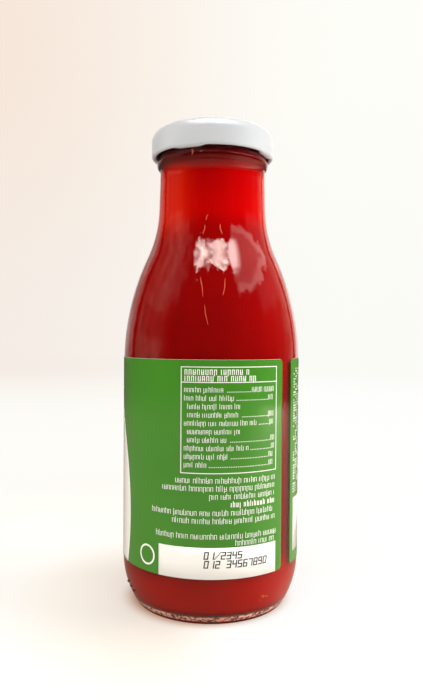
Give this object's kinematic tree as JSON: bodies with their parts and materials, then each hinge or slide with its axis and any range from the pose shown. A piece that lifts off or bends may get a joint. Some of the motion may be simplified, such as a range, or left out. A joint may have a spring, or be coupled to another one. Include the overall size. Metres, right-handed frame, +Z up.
{
  "type": "ketchup bottle",
  "caption": "Clear glass bottle of ketchup with sloping shoulders, a white twist-off metal lid and a wrap-around paper label.",
  "frame": {"origin": "centre of the foot ring, on the plane the bottle stands on", "axes": "+Z up along the bottle's axis; -Y faces the side that shows the table on the label"},
  "size_m": [0.0664, 0.0664, 0.1759],
  "materials": {
    "clear_glass": "smooth, clear",
    "tomato_ketchup": "thick wet red sauce",
    "white_enamel": "glossy white enamel on tinplate",
    "printed_paper": "satin printed label"
  },
  "bodies": {
    "root": {"bottle_glass": "clear_glass", "ketchup": "tomato_ketchup", "lid": "white_enamel", "label": "printed_paper"}
  },
  "joints": []
}
